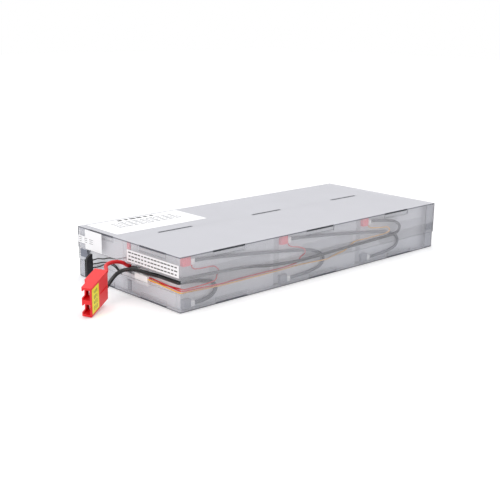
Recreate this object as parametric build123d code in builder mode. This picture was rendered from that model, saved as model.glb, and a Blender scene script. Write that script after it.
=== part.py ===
from build123d import *
import math
import os

os.makedirs("parts", exist_ok=True)

# Battery cartridge for a rack-mounted power supply. Six sealed lead acid batteries lie on their
# sides in two rows of three, wired in series, between two nested folded covers of clear sheet.
# Frame: +X to the right end, +Y to the back, +Z up, origin at the bottom centre of the pack.

# Folded clear sheet
sheet = 0.6
nest_gap = 0.2
fold_radius = 1.4
cover_skirt_z = 23.4
tray_wall_z = 37.0
left_skirt_z = 39.0
left_wall_z = 22.4

# Tab windows along the folds
window_length = 52.0
window_height = 6.5
window_pitch = 158.0
window_shift = -8.0
slit_depth = 1.1
tongue_play = 0.5
tongue_lap = 1.5

# Finger slots in the top panel
slot_length = 53.0
slot_width = 2.4
slot_from_bay = 0.05
slot_pitch = 161.0
slot_shift = 3.0
pad_margin = 0.8

# One battery, 12 V 9 Ah, lying on its side
battery_length = 151.0
battery_side = 65.0
battery_height = 94.0
battery_corner = 2.0
lid_depth = 7.0
lid_groove = 0.5
lid_groove_width = 1.0
vent_length = 100.0
vent_width = 26.0
vent_depth = 1.0
vent_offset = 18.0
vent_play = 0.2

# Room round the batteries
cover_gap = 0.2
base_gap = 0.7
front_bay = 8.4
middle_bay = 8.4
end_gap = 6.4
battery_gap = 7.0

# Terminals on the lid
terminal_edge = 0.6
terminal_width = 12.0
terminal_tall = 11.5
terminal_proud = 5.0
terminal_inset = 1.5
receptacle_width = 5.2
receptacle_tall = 7.5
receptacle_deep = 4.8
receptacle_lift = 0.2
receptacle_drop = 1.2
tab_tall = 6.3
tab_thick = 0.8
tab_reach = 4.4
tab_play = 0.2

# Wiring
jumper_dia = 4.0
lead_dia = 4.8
sense_dia = 1.5
wire_clear = 0.1

# Tape, foam and the parts of the sense harness
tape_width = 6.0
foam_depth = 60.0
foam_tall = 50.0
inline_length = 25.0
inline_tall = 12.6
inline_play = 0.2
sleeve_length = 28.0
sleeve_tall = 8.0
sleeve_thick = 3.0

# Two-pole power connector
power_length = 47.5
power_tall = 36.5
power_thick = 15.7
power_nose_thick = 11.7
power_nose = 18.0
cavity_tall = 12.8
cavity_wide = 8.4
cavity_depth = 27.0
cavity_wall = 1.6
pole_pitch = 18.0
barrel_dia = 6.4
barrel_hole = 7.0
barrel_length = 14.0
barrel_sink = 1.5
blade_tall = 9.0
blade_thick = 2.0
blade_reach = 17.0

# Eight-way sense plug
plug_ways = 8
plug_pitch = 2.5
plug_margin = 1.45
plug_length = 9.0
plug_thick = 5.0
plug_latch_tall = 6.0
plug_bore = 1.7

# Sizes that follow from the ones above
wall_stack = 2 * sheet + nest_gap
row_length = 3 * battery_length + 2 * battery_gap
pack_length = row_length + 2 * (end_gap + wall_stack)
pack_width = 2 * (wall_stack + battery_height) + front_bay + middle_bay + base_gap
half_x = pack_length / 2
half_y = pack_width / 2
floor_z = sheet
battery_top = floor_z + battery_side
pack_height = battery_top + cover_gap + sheet
tray_out = sheet + nest_gap
front_wall_y = -half_y + wall_stack
back_wall_y = half_y - wall_stack
end_wall_x = half_x - wall_stack
front_lid_y = front_wall_y + front_bay
front_base_y = front_lid_y + battery_height
rear_base_y = back_wall_y - base_gap
rear_lid_y = rear_base_y - battery_height
slot_y = rear_lid_y - slot_from_bay
battery_z = floor_z + battery_side / 2
battery_x = [-row_length / 2 + k * (battery_length + battery_gap) for k in range(3)]
lid_y = {"front": front_lid_y, "rear": rear_lid_y}
places = ["left", "middle", "right"]
upper_z = battery_top - terminal_inset - terminal_tall / 2
lower_z = floor_z + terminal_inset + terminal_tall / 2
terminal_x = terminal_edge + terminal_width / 2
lead_x = [x + terminal_edge + terminal_width + receptacle_width for x in battery_x]
upper_tab_z = upper_z - receptacle_drop
lower_tab_z = lower_z - receptacle_drop
print("outside", round(pack_length, 2), round(pack_width, 2), round(pack_height, 2))


def keep(part, name):
    """Names one finished piece and writes it."""
    part.label = name
    export_step(part, "parts/" + name + ".step")


# Upper cover: one folded sheet, its skirt outside the tray. The left end stops higher, so that the
# leads come out between the two covers.
with BuildPart() as upper_cover:
    with BuildSketch(Plane.XY.offset(cover_skirt_z)):
        Rectangle(pack_length, pack_width)
    extrude(amount=pack_height - cover_skirt_z)
    rim = upper_cover.faces().sort_by(Axis.Z)[-1].edges()
    fillet(rim + upper_cover.edges().filter_by(Axis.Z), radius=fold_radius)
    skirt_mouth = upper_cover.faces().sort_by(Axis.Z)[0]
    offset(amount=-sheet, openings=skirt_mouth)
    with BuildSketch(Plane.XY.offset(cover_skirt_z)):
        with Locations((-half_x, 0)):
            Rectangle(2 * fold_radius, pack_width)
    extrude(amount=left_skirt_z - cover_skirt_z, mode=Mode.SUBTRACT)
    # Slits along the folds of the long sides and the ends
    with BuildSketch(Plane.XY.offset(pack_height)):
        with Locations((window_shift, 0)):
            with GridLocations(window_pitch, pack_width, 3, 2):
                Rectangle(window_length, 2 * slit_depth)
        with GridLocations(pack_length, pack_width / 2, 2, 2):
            Rectangle(2 * slit_depth, window_length)
    extrude(amount=-window_height, mode=Mode.SUBTRACT)
    # Tongues behind the slits, pressed in by one sheet
    with BuildSketch(Plane.XY.offset(pack_height - 2 * fold_radius + sheet)):
        for side in (-1, 1):
            with Locations((window_shift, side * (half_y - 1.5 * sheet))):
                with GridLocations(window_pitch, 1, 3, 1):
                    Rectangle(window_length - 2 * tongue_play, sheet)
            with Locations((side * (half_x - 1.5 * sheet), 0)):
                with GridLocations(1, pack_width / 2, 1, 2):
                    Rectangle(sheet, window_length - 2 * tongue_play)
    extrude(amount=-(window_height + tongue_lap - 2 * fold_radius + sheet))
    # Finger slots over the bay between the rows
    with BuildSketch(Plane.XY.offset(pack_height)):
        with Locations((slot_shift, slot_y)):
            with GridLocations(slot_pitch, 1, 3, 1):
                SlotOverall(slot_length, slot_width)
    extrude(amount=-sheet, mode=Mode.SUBTRACT)
keep(upper_cover.part, "upper_cover")

# Lower tray: the same folded form, nested inside the skirt of the cover
with BuildPart() as lower_tray:
    with BuildSketch(Plane.XY):
        Rectangle(pack_length - 2 * tray_out, pack_width - 2 * tray_out)
    extrude(amount=tray_wall_z)
    rim = lower_tray.faces().sort_by(Axis.Z)[0].edges()
    fillet(rim + lower_tray.edges().filter_by(Axis.Z), radius=fold_radius)
    tray_mouth = lower_tray.faces().sort_by(Axis.Z)[-1]
    offset(amount=-sheet, openings=tray_mouth)
    with BuildSketch(Plane.XY.offset(tray_wall_z)):
        with Locations((-half_x + tray_out, 0)):
            Rectangle(2 * fold_radius, pack_width)
    extrude(amount=left_wall_z - tray_wall_z, mode=Mode.SUBTRACT)
    with BuildSketch(Plane.XY):
        with GridLocations(pack_length / 3, pack_width - 2 * tray_out, 3, 2):
            Rectangle(window_length, 2 * slit_depth)
        with GridLocations(pack_length - 2 * tray_out, pack_width / 2, 2, 2):
            Rectangle(2 * slit_depth, window_length)
    extrude(amount=window_height, mode=Mode.SUBTRACT)
    with BuildSketch(Plane.XY.offset(2 * fold_radius - sheet)):
        for side in (-1, 1):
            with Locations((0, side * (half_y - tray_out - 1.5 * sheet))):
                with GridLocations(pack_length / 3, 1, 3, 1):
                    Rectangle(window_length - 2 * tongue_play, sheet)
            with Locations((side * (half_x - tray_out - 1.5 * sheet), 0)):
                with GridLocations(1, pack_width / 2, 1, 2):
                    Rectangle(sheet, window_length - 2 * tongue_play)
    extrude(amount=window_height + tongue_lap - 2 * fold_radius + sheet)
keep(lower_tray.part, "lower_tray")

# White tape under the top panel, along the edge of the rear row, and a dark pad under each slot
with BuildPart() as seam_tape:
    with BuildSketch(Plane.XY.offset(battery_top)):
        with Locations((0, slot_y)):
            Rectangle(row_length - 2 * battery_corner, tape_width)
        with Locations((slot_shift, slot_y)):
            with GridLocations(slot_pitch, 1, 3, 1):
                Rectangle(slot_length + 4 * pad_margin, tape_width, mode=Mode.SUBTRACT)
    extrude(amount=cover_gap)
keep(seam_tape.part, "seam_tape")
with BuildPart() as slot_pads:
    with BuildSketch(Plane.XY.offset(battery_top)):
        with Locations((slot_shift, slot_y)):
            with GridLocations(slot_pitch, 1, 3, 1):
                Rectangle(slot_length + 2 * pad_margin, slot_width + 2 * pad_margin)
    extrude(amount=cover_gap)
keep(slot_pads.part, "slot_pads")


def lying(x, y):
    """Plane across a battery: local x along the row, local y up, normal towards the terminals."""
    return Plane(origin=(x, y, battery_z), x_dir=(1, 0, 0), z_dir=(0, -1, 0))


# Batteries: moulded case, lid with a groove round its seam, vent cover let into the lid
for row in ("front", "rear"):
    base_y = lid_y[row] + battery_height
    for k in range(3):
        name = row + "_" + places[k]
        x_mid = battery_x[k] + battery_length / 2
        with BuildPart() as case:
            with BuildSketch(lying(x_mid, base_y)):
                RectangleRounded(battery_length, battery_side, battery_corner)
            extrude(amount=battery_height - lid_depth)
            chamfer(case.faces().sort_by(Axis.Y)[-1].edges(), length=0.6)
        keep(case.part, "case_" + name)
        with BuildPart() as lid:
            with BuildSketch(lying(x_mid, lid_y[row] + lid_depth)):
                RectangleRounded(battery_length - 2 * lid_groove, battery_side - 2 * lid_groove,
                                 battery_corner - lid_groove)
            extrude(amount=lid_groove_width)
            with BuildSketch(lying(x_mid, lid_y[row] + lid_depth - lid_groove_width)):
                RectangleRounded(battery_length, battery_side, battery_corner)
            extrude(amount=lid_depth - lid_groove_width)
            chamfer(lid.faces().sort_by(Axis.Y)[0].edges(), length=0.4)
            with BuildSketch(lying(x_mid, lid_y[row])):
                with Locations((vent_offset, 0)):
                    RectangleRounded(vent_length, vent_width, battery_corner)
            extrude(amount=-vent_depth, mode=Mode.SUBTRACT)
        keep(lid.part, "lid_" + name)
    with BuildPart() as vents:
        with BuildSketch(Plane(origin=(0, lid_y[row], battery_z), x_dir=(1, 0, 0), z_dir=(0, -1, 0))):
            with Locations((vent_offset, 0)):
                with GridLocations(battery_length + battery_gap, 1, 3, 1):
                    RectangleRounded(vent_length - 2 * vent_play, vent_width - 2 * vent_play,
                                     battery_corner - vent_play)
        extrude(amount=-vent_depth)
    keep(vents.part, "vent_covers_" + row)

# Terminals: a coloured block moulded round each post, the plus above and the minus below
for row in ("front", "rear"):
    for k in range(3):
        for colour, z in (("red", upper_z), ("black", lower_z)):
            block_x = battery_x[k] + terminal_x
            with BuildPart() as terminal:
                with BuildSketch(Plane(origin=(block_x, lid_y[row], z), x_dir=(1, 0, 0), z_dir=(0, -1, 0))):
                    RectangleRounded(terminal_width, terminal_tall, 1.2)
                extrude(amount=terminal_proud)
                chamfer(terminal.faces().sort_by(Axis.Y)[0].edges(), length=0.6)
            keep(terminal.part, "terminal_" + colour + "_" + row + "_" + places[k])

# Tabs that leave the blocks sideways, and the nylon receptacles pushed on them
tab_y = receptacle_lift + receptacle_deep / 2
for row in ("front", "rear"):
    with BuildPart() as tabs:
        for z in (lower_tab_z, upper_tab_z):
            with BuildSketch(Plane(origin=(battery_x[1] + terminal_edge + terminal_width, lid_y[row] - tab_y, z),
                                   x_dir=(0, 1, 0), z_dir=(1, 0, 0))):
                Rectangle(tab_thick, tab_tall)
            extrude(amount=tab_reach)
        first_tabs = tabs.part
    with BuildPart() as tab_row:
        for k in range(3):
            add(first_tabs.moved(Location((battery_x[k] - battery_x[1], 0, 0))))
    keep(tab_row.part, "tabs_" + row)
    with BuildPart() as sleeves:
        for z in (lower_tab_z, upper_tab_z):
            with BuildSketch(Plane(origin=(battery_x[1] + terminal_edge + terminal_width, lid_y[row] - tab_y, z),
                                   x_dir=(0, 1, 0), z_dir=(1, 0, 0))):
                RectangleRounded(receptacle_deep, receptacle_tall, 0.8)
            extrude(amount=receptacle_width)
            with BuildSketch(Plane(origin=(battery_x[1] + terminal_edge + terminal_width, lid_y[row] - tab_y, z),
                                   x_dir=(0, 1, 0), z_dir=(1, 0, 0))):
                Rectangle(tab_thick + 2 * tab_play, tab_tall + 2 * tab_play)
            extrude(amount=tab_reach + tab_play, mode=Mode.SUBTRACT)
        first_sleeves = sleeves.part
    with BuildPart() as sleeve_row:
        for k in range(3):
            add(first_sleeves.moved(Location((battery_x[k] - battery_x[1], 0, 0))))
    keep(sleeve_row.part, "receptacles_" + row)

# Foam blocks in the gaps along the rows and at the right end
row_mid = {"front": front_lid_y + battery_height / 2, "rear": rear_lid_y + battery_height / 2}
with BuildPart() as gap_foam:
    with BuildSketch(Plane.XY.offset(floor_z)):
        for row in ("front", "rear"):
            for k in (1, 2):
                with Locations((battery_x[k] - battery_gap / 2, row_mid[row])):
                    Rectangle(battery_gap, foam_depth)
    extrude(amount=foam_tall)
keep(gap_foam.part, "foam_gap_blocks")
with BuildPart() as end_foam:
    with BuildSketch(Plane.XY.offset(floor_z)):
        for row in ("front", "rear"):
            with Locations((end_wall_x - end_gap / 2, row_mid[row])):
                Rectangle(end_gap, foam_depth)
    extrude(amount=foam_tall)
    # The tray's tongues stand in by one sheet, so the blocks are cut back over them
    with BuildSketch(Plane.XY.offset(floor_z)):
        with Locations((end_wall_x, 0)):
            Rectangle(2 * (max(sheet, fold_radius - sheet) + wire_clear), pack_width)
    extrude(amount=window_height + tongue_lap, mode=Mode.SUBTRACT)
keep(end_foam.part, "foam_end_blocks")


def wire(name, points, dia):
    """A round wire along straight runs joined by tangent arcs as large as the runs allow."""
    corners = [Vector(*p) for p in points]
    radii = []
    for a, b, c in zip(corners, corners[1:], corners[2:]):
        turn = math.radians((b - a).get_angle(c - b))
        shorter = min((b - a).length, (c - b).length)
        radii.append(0.45 * shorter / math.tan(turn / 2))
    with BuildPart() as tube:
        with BuildLine() as route:
            FilletPolyline(*corners, radius=radii)
        path = route.wires()[0]
        with BuildSketch(Plane(origin=path @ 0, z_dir=path % 0)):
            Circle(dia / 2)
        sweep()
    length = path.length
    share = tube.part.volume / (length * math.pi * dia * dia / 4)
    print(name, "length", round(length, 1), "volume share", round(share, 4),
          "radii", [round(r, 1) for r in radii])
    keep(tube.part, name)
    return length


# Depths of the wires in each bay: near the lids, and against the far wall
front_near = front_lid_y - jumper_dia / 2 - wire_clear
front_far = front_wall_y + jumper_dia / 2 + wire_clear
rear_near = rear_lid_y - jumper_dia / 2 - wire_clear
rear_far = front_base_y + jumper_dia / 2 + wire_clear
thin_near = front_lid_y - sense_dia / 2 - wire_clear
thin_far = front_wall_y + sense_dia / 2 + wire_clear
lead_near = front_lid_y - lead_dia / 2 - wire_clear
end_x = -end_wall_x + end_gap / 2
lead_z = battery_z + 1.4
link_z = lead_z + jumper_dia / 2 + lead_dia / 2 + 0.3

# Series jumpers of the front row: plus of one battery to minus of the next
for name, k in (("jumper_front_left", 0), ("jumper_front_right", 1)):
    a = lead_x[k]
    b = lead_x[k + 1]
    wire(name, [
        (a, front_near, upper_tab_z), (a + 10, front_near, upper_tab_z),
        (a + 36, front_near, upper_tab_z - 2), (a + 100, front_near, upper_tab_z - 8),
        (b + 18, front_near, upper_tab_z - 17), (b + 42, front_near, upper_tab_z - 20.5),
        (b + 60, front_near, upper_tab_z - 28), (b + 66, front_near, lower_tab_z + 14),
        (b + 60, front_near, lower_tab_z + 6), (b + 40, front_near, lower_tab_z + 1.5),
        (b + 10, front_near, lower_tab_z), (b, front_near, lower_tab_z),
    ], jumper_dia)

# Series jumpers of the rear row: plus of one battery back to minus of the one on its left
for name, k in (("jumper_rear_left", 0), ("jumper_rear_right", 1)):
    a = lead_x[k + 1]
    b = lead_x[k]
    wire(name, [
        (a, rear_near, upper_tab_z), (a + 9, rear_near, upper_tab_z),
        (a + 20, rear_near, upper_tab_z - 3), (a + 27, rear_near, upper_tab_z - 11),
        (a + 20, rear_near, upper_tab_z - 19), (a + 2, rear_near, upper_tab_z - 21.5),
        (a - 70, rear_near, upper_tab_z - 24), (b + 50, rear_near, lower_tab_z + 14),
        (b + 30, rear_near, lower_tab_z + 2), (b + 9, rear_near, lower_tab_z),
        (b, rear_near, lower_tab_z),
    ], jumper_dia)

# Link between the rows: last plus of the front row, back along the front bay, round the left end
# and through the middle bay to the minus of the battery at the right of the rear row
wire("row_link", [
    (lead_x[2], front_near, upper_tab_z), (lead_x[2] + 9, front_near, upper_tab_z),
    (lead_x[2] + 32, front_far, upper_tab_z - 2), (lead_x[2] + 52, front_far, upper_tab_z - 6),
    (lead_x[2] + 64, front_far, upper_tab_z - 14), (lead_x[2] + 60, front_far, upper_tab_z - 22),
    (lead_x[2] + 42, front_far, upper_tab_z - 25), (lead_x[2] - 50, front_far, upper_tab_z - 27),
    (lead_x[1] + 15, front_far, upper_tab_z - 30), (lead_x[1] - 40, front_far, upper_tab_z - 26.5),
    (lead_x[0] + 80, front_far, upper_tab_z - 20.5), (lead_x[0] + 25, front_far, link_z - 0.6),
    (lead_x[0] - 5, front_far, link_z), (end_x, front_far, link_z + 0.1),
    (end_x, front_lid_y + 10, link_z), (end_x, front_base_y - 40, link_z + 0.2),
    (end_x, front_base_y - 22, link_z - 0.2), (end_x, front_base_y - 9, upper_tab_z - 22.6),
    (end_x, rear_far, upper_tab_z - 27.5), (end_x + 7, rear_far, upper_tab_z - 28.3),
    (end_x + 24, rear_far, upper_tab_z - 28.8), (lead_x[2] + 20, rear_far, upper_tab_z - 29.5),
    (lead_x[2] + 33, rear_near, upper_tab_z - 34), (lead_x[2] + 36, rear_near, lower_tab_z + 9),
    (lead_x[2] + 28, rear_near, lower_tab_z + 1.5), (lead_x[2] + 9, rear_near, lower_tab_z),
    (lead_x[2], rear_near, lower_tab_z),
], jumper_dia)

# Main leads inside the pack, up to where they leave through the gap in the left end
lead_rear = rear_lid_y - lead_dia / 2 - wire_clear
lead_bay_y = rear_lid_y - middle_bay / 2 + 0.35
red_z = battery_z + 2.3
black_exit = (end_x, front_base_y - 60, lead_z)
red_exit = (end_x + 7.2, lead_bay_y, red_z)
wire("main_lead_black_inner", [
    (lead_x[0], lead_near, lower_tab_z), (lead_x[0] + 10, lead_near, lower_tab_z),
    (lead_x[0] + 27, lead_near, lower_tab_z + 3), (lead_x[0] + 36, lead_near, lower_tab_z + 12),
    (lead_x[0] + 28, lead_near, lower_tab_z + 21), (lead_x[0] + 4, lead_near, lead_z - 1.5),
    (end_x + 7, lead_near, lead_z - 0.3), (end_x, lead_near, lead_z - 0.1),
    (end_x, lead_near + 7, lead_z - 0.2), (end_x, front_base_y - 77, lead_z - 0.1), black_exit,
], lead_dia)
wire("main_lead_red_inner", [
    (lead_x[0], lead_rear, upper_tab_z), (lead_x[0] + 9, lead_rear, upper_tab_z),
    (lead_x[0] + 22, lead_rear, upper_tab_z - 3.5), (lead_x[0] + 28, lead_rear, upper_tab_z - 12),
    (lead_x[0] + 20, lead_rear, upper_tab_z - 19.5), (lead_x[0] + 3, lead_bay_y, red_z + 0.2),
    (end_x + 16.7, lead_bay_y, red_z), red_exit,
], lead_dia)

# Sense wires: from each plus of the front row along the bay to the inline connector in the left end
sense_rise = upper_tab_z - receptacle_tall / 2
sense_y = front_lid_y - tab_y
inline_y = front_base_y - 40.55
inline_z = lower_tab_z + 17.35
sense_x = [x - receptacle_width / 2 for x in lead_x]
wire("sense_wire_red_first", [
    (sense_x[0], sense_y, sense_rise), (sense_x[0], sense_y, sense_rise - 3),
    (lead_x[0] + 2, thin_near, sense_rise - 7), (lead_x[0] + 12, thin_near, sense_rise - 8),
    (lead_x[0] + 34, thin_near, sense_rise - 8.5), (lead_x[0] + 41, thin_near, battery_z + 4.9),
    (lead_x[0] + 38, thin_near, battery_z + 1.4), (lead_x[0] + 30, thin_far, left_wall_z + 6.6),
    (lead_x[0] + 10, thin_far, left_wall_z + 4.9), (end_x + 8, thin_far, left_wall_z + 4.7),
    (end_x + 1.7, thin_far, left_wall_z + 4.7), (end_x + 1.7, thin_far + 8, left_wall_z + 4.5),
    (end_x + 1.7, inline_y - 9, inline_z), (end_x + 1.7, inline_y, inline_z),
], sense_dia)
wire("sense_wire_red_second", [
    (sense_x[1], sense_y, sense_rise), (sense_x[1], sense_y, sense_rise - 3),
    (lead_x[1] + 2, thin_near - 3, sense_rise - 6), (lead_x[1] + 12, thin_far, sense_rise - 7),
    (lead_x[1] + 23, thin_far, battery_z + 8.9), (lead_x[1] + 24, thin_far, battery_z + 2.9),
    (lead_x[1] + 22, thin_near, left_wall_z + 8.1), (lead_x[1] + 17, thin_near, left_wall_z + 1.1),
    (lead_x[1] - 4, thin_near, left_wall_z - 0.8), (lead_x[0] + 60, thin_near, left_wall_z - 1.0),
    (lead_x[0] + 44, thin_far, left_wall_z + 0.8), (end_x + 9.6, thin_far, left_wall_z + 2.7),
    (end_x, thin_far, left_wall_z + 2.9), (end_x, thin_far + 8, left_wall_z + 3.0),
    (end_x, inline_y - 9, inline_z + 4.2), (end_x, inline_y, inline_z + 4.2),
], sense_dia)
wire("sense_wire_yellow", [
    (sense_x[2], sense_y, sense_rise), (sense_x[2], sense_y, sense_rise - 3),
    (lead_x[2] + 2, thin_near - 3, sense_rise - 5), (lead_x[2] + 14, thin_far, sense_rise - 6),
    (lead_x[2] + 34, thin_far, battery_z + 12.9), (lead_x[2] + 40, thin_far, battery_z + 6.9),
    (lead_x[2] + 30, thin_far, battery_z + 3.9), (lead_x[2] - 18, thin_far, battery_z + 3.1),
    (lead_x[2] - 30, thin_near, battery_z + 0.9), (lead_x[2] - 46, thin_near, left_wall_z + 2.1),
    (lead_x[2] - 74, thin_near, left_wall_z - 2.0), (lead_x[2] - 92, thin_far, left_wall_z - 1.8),
    (lead_x[1] + 16, thin_far, left_wall_z + 0.6), (lead_x[1] - 24, thin_far, left_wall_z - 0.6),
    (lead_x[0] + 40, thin_far, left_wall_z - 1.2), (end_x + 8, thin_far, left_wall_z + 0.9),
    (end_x - 1.6, thin_far, left_wall_z + 1.1), (end_x - 1.6, thin_far + 8, left_wall_z + 1.2),
    (end_x - 1.6, inline_y - 9, inline_z + 2.4), (end_x - 1.6, inline_y, inline_z + 2.4),
], sense_dia)

# Inline sense connector in the left end, and the flat sleeve on the wires that leave it
with BuildPart() as inline_connector:
    with BuildSketch(Plane(origin=(end_x, inline_y, inline_z), x_dir=(1, 0, 0), z_dir=(0, 1, 0))):
        RectangleRounded(end_gap - 2 * inline_play, inline_tall, 0.8)
    extrude(amount=inline_length)
    with BuildSketch(Plane(origin=(end_x, inline_y + inline_length / 2, inline_z + inline_tall / 2),
                           x_dir=(1, 0, 0), z_dir=(0, 0, 1))):
        Rectangle(end_gap - 4 * inline_play - 2, 6)
    extrude(amount=1.2)
keep(inline_connector.part, "inline_sense_connector")
sleeve_y = inline_y + inline_length
with BuildPart() as sense_sleeve:
    with BuildSketch(Plane(origin=(end_x, sleeve_y, inline_z - 2), x_dir=(1, 0, 0), z_dir=(0, 1, 0))):
        SlotOverall(sleeve_tall, sleeve_thick, rotation=90)
    extrude(amount=sleeve_length)
keep(sense_sleeve.part, "sense_sleeve")

# Power connector, lying outside the left end with its nose on the floor. Local x runs from the
# mating end to the cable end, local y across its thickness and local z across the two poles.
power_at = Plane(origin=(-half_x - 82.3, front_base_y - 48.95, 0.3), x_dir=(0.83218, 0.52479, 0.17909),
                 z_dir=(-0.1073, -0.16447, 0.98053))


def on_power(x, y, z):
    """A point of the power connector's own frame in the frame of the pack."""
    return power_at.from_local_coords((x, y, z))


pole_z = [power_tall / 2 - pole_pitch / 2, power_tall / 2 + pole_pitch / 2]
pole_y = cavity_wall + cavity_wide / 2
with BuildPart() as power_housing:
    with BuildSketch(power_at) as outline:
        with BuildLine():
            Polyline((0, 0), (power_length, 0), (power_length, power_thick), (power_nose, power_thick),
                     (power_nose - 2, power_nose_thick), (0, power_nose_thick), (0, 0))
        make_face()
    extrude(amount=power_tall)
    along = Axis(power_at.origin, power_at.z_dir)
    fillet(power_housing.edges().filter_by(along), radius=0.8)
    # Cavities for the contacts, open at the mating end, with notched far walls
    for z in pole_z:
        nose = Plane(origin=on_power(0, pole_y, z), x_dir=power_at.y_dir, z_dir=power_at.x_dir)
        with BuildSketch(nose):
            RectangleRounded(cavity_wide, cavity_tall, 0.8)
        extrude(amount=cavity_depth, mode=Mode.SUBTRACT)
        with BuildSketch(Plane(origin=on_power(0, power_nose_thick, z), x_dir=power_at.x_dir,
                               z_dir=power_at.y_dir)):
            with Locations((0, 0)):
                Rectangle(16, cavity_tall - 4)
        extrude(amount=-cavity_wall - 0.4, mode=Mode.SUBTRACT)
        with BuildSketch(Plane(origin=on_power(power_length, pole_y, z), x_dir=power_at.y_dir,
                               z_dir=power_at.x_dir)):
            Circle(barrel_hole / 2)
        extrude(amount=-(power_length - cavity_depth), mode=Mode.SUBTRACT)
    # Groove between the poles on both broad faces
    for y in (0, power_thick):
        with BuildSketch(Plane(origin=on_power(power_length - 12, y, power_tall / 2), x_dir=power_at.x_dir,
                               z_dir=power_at.y_dir)):
            Rectangle(24, 2)
        extrude(amount=0.6, both=True, mode=Mode.SUBTRACT)
keep(power_housing.part, "power_connector_housing")
with BuildPart() as power_contacts:
    for z in pole_z:
        back = power_length - barrel_sink
        with BuildSketch(Plane(origin=on_power(back, pole_y, z), x_dir=power_at.y_dir,
                               z_dir=-power_at.x_dir)):
            Circle(barrel_dia / 2)
        extrude(amount=barrel_length)
        with BuildSketch(Plane(origin=on_power(back - barrel_length, pole_y, z), x_dir=power_at.y_dir,
                               z_dir=-power_at.x_dir)):
            Rectangle(blade_thick, blade_tall - 2.8)
        extrude(amount=6)
        with BuildSketch(Plane(origin=on_power(back - barrel_length - 6, pole_y, z), x_dir=power_at.y_dir,
                               z_dir=-power_at.x_dir)):
            Rectangle(blade_thick, blade_tall)
        extrude(amount=blade_reach)
keep(power_contacts.part, "power_connector_contacts")

# Free ends of the main leads, from the gap in the left end to the backs of the contacts
lead_lower = on_power(power_length - barrel_sink, pole_y, pole_z[0])
lead_upper = on_power(power_length - barrel_sink, pole_y, pole_z[1])
straight = power_at.x_dir * 14
print("lead ends", lead_lower, lead_upper, lead_lower + straight, lead_upper + straight)
black_length = wire("main_lead_black", [
    black_exit, (end_x, front_base_y - 43, lead_z + 0.1), (end_x - 3.5, front_base_y - 29, lead_z + 0.5),
    (end_x - 9.3, front_base_y - 17, lead_z + 0.1), (end_x - 18.3, front_base_y - 10.5, lead_z - 2.3),
    (end_x - 28.3, front_base_y - 8, lead_z - 6.6), lead_lower + straight, lead_lower,
], lead_dia)
red_length = wire("main_lead_red", [
    red_exit, (end_x - 1.3, lead_bay_y, red_z), (end_x - 11.8, lead_bay_y + 4.8, red_z + 1.8),
    (end_x - 22, lead_bay_y + 6.2, red_z + 4.0), (end_x - 31.5, lead_bay_y + 1.6, red_z + 5.2),
    (end_x - 37, lead_bay_y - 6.5, red_z + 4.8), lead_upper + straight, lead_upper,
], lead_dia)

# Sense plug beside the left end, its mating face outwards and its latch on top
plug_tall = plug_ways * plug_pitch + 2 * plug_margin
plug_at = (-half_x - 5.7, rear_base_y - 37.55, 9.5)
with BuildPart() as sense_plug:
    with BuildSketch(Plane(origin=(plug_at[0], plug_at[1], plug_at[2] + plug_tall / 2),
                           x_dir=(0, 1, 0), z_dir=(-1, 0, 0))):
        RectangleRounded(plug_thick, plug_tall, 0.6)
    extrude(amount=plug_length)
    # Latch arm over the top end
    with BuildSketch(Plane(origin=(plug_at[0], plug_at[1], plug_at[2] + plug_tall), x_dir=(1, 0, 0),
                           z_dir=(0, -1, 0))):
        with BuildLine():
            Polyline((0, -0.8), (-plug_length + 1.5, -0.8), (-plug_length + 1.5, 1.6),
                     (-2.4, plug_latch_tall), (0, plug_latch_tall), (0, -0.8))
        make_face()
    extrude(amount=plug_thick / 2 - 0.8, both=True)
    for face_x, depth in ((plug_at[0] - plug_length, 6.0), (plug_at[0], -2.0)):
        with BuildSketch(Plane(origin=(face_x, plug_at[1], plug_at[2] + plug_tall / 2), x_dir=(0, 1, 0),
                               z_dir=(1, 0, 0))):
            with GridLocations(1, plug_pitch, 1, plug_ways):
                Rectangle(plug_bore, plug_bore)
        extrude(amount=depth, mode=Mode.SUBTRACT)
keep(sense_plug.part, "sense_plug_housing")

# Short sense wires between the plug and the gap in the left end
way_z = [plug_at[2] + plug_margin + plug_pitch * (n + 0.5) for n in range(plug_ways)]
wire_in = plug_at[0] - 2.0
sleeve_end = sleeve_y + sleeve_length
wire("sense_lead_top", [
    (wire_in, plug_at[1], way_z[7]), (plug_at[0] + 3.4, plug_at[1], way_z[7]),
    (plug_at[0] + 3.8, plug_at[1] - 7.5, way_z[7] + 2.7), (plug_at[0] + 3.8, plug_at[1] - 18.5, way_z[7] + 6.7),
    (plug_at[0] + 4.4, plug_at[1] - 28.5, battery_z + 3.5), (end_x - 1.7, rear_lid_y + 17, battery_z + 3.5),
    (end_x - 0.5, rear_lid_y + 7, battery_z + 7.3), (end_x + 0.1, rear_lid_y - 1, battery_z + 10.1),
    (end_x + 6.7, rear_lid_y - 5.6, battery_z + 10.9), (end_x + 15.7, rear_lid_y - 5.2, battery_z + 11.1),
    (sense_x[0], rear_lid_y - tab_y, sense_rise - 5), (sense_x[0], rear_lid_y - tab_y, sense_rise),
], sense_dia)
wire("sense_lead_middle", [
    (wire_in, plug_at[1], way_z[5]), (plug_at[0] + 3.4, plug_at[1], way_z[5]),
    (plug_at[0] + 3.8, plug_at[1] - 7.5, way_z[5] + 1.9), (plug_at[0] + 4, plug_at[1] - 18.5, way_z[5] + 5.7),
    (end_x - 3.3, plug_at[1] - 28.5, battery_z - 1.7), (end_x, rear_lid_y + 20, inline_z + 5.5),
    (end_x, rear_lid_y + 13.5, inline_z + 0.8), (end_x, sleeve_end + 5, inline_z - 0.4),
    (end_x, sleeve_end, inline_z - 0.4),
], sense_dia)
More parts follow.
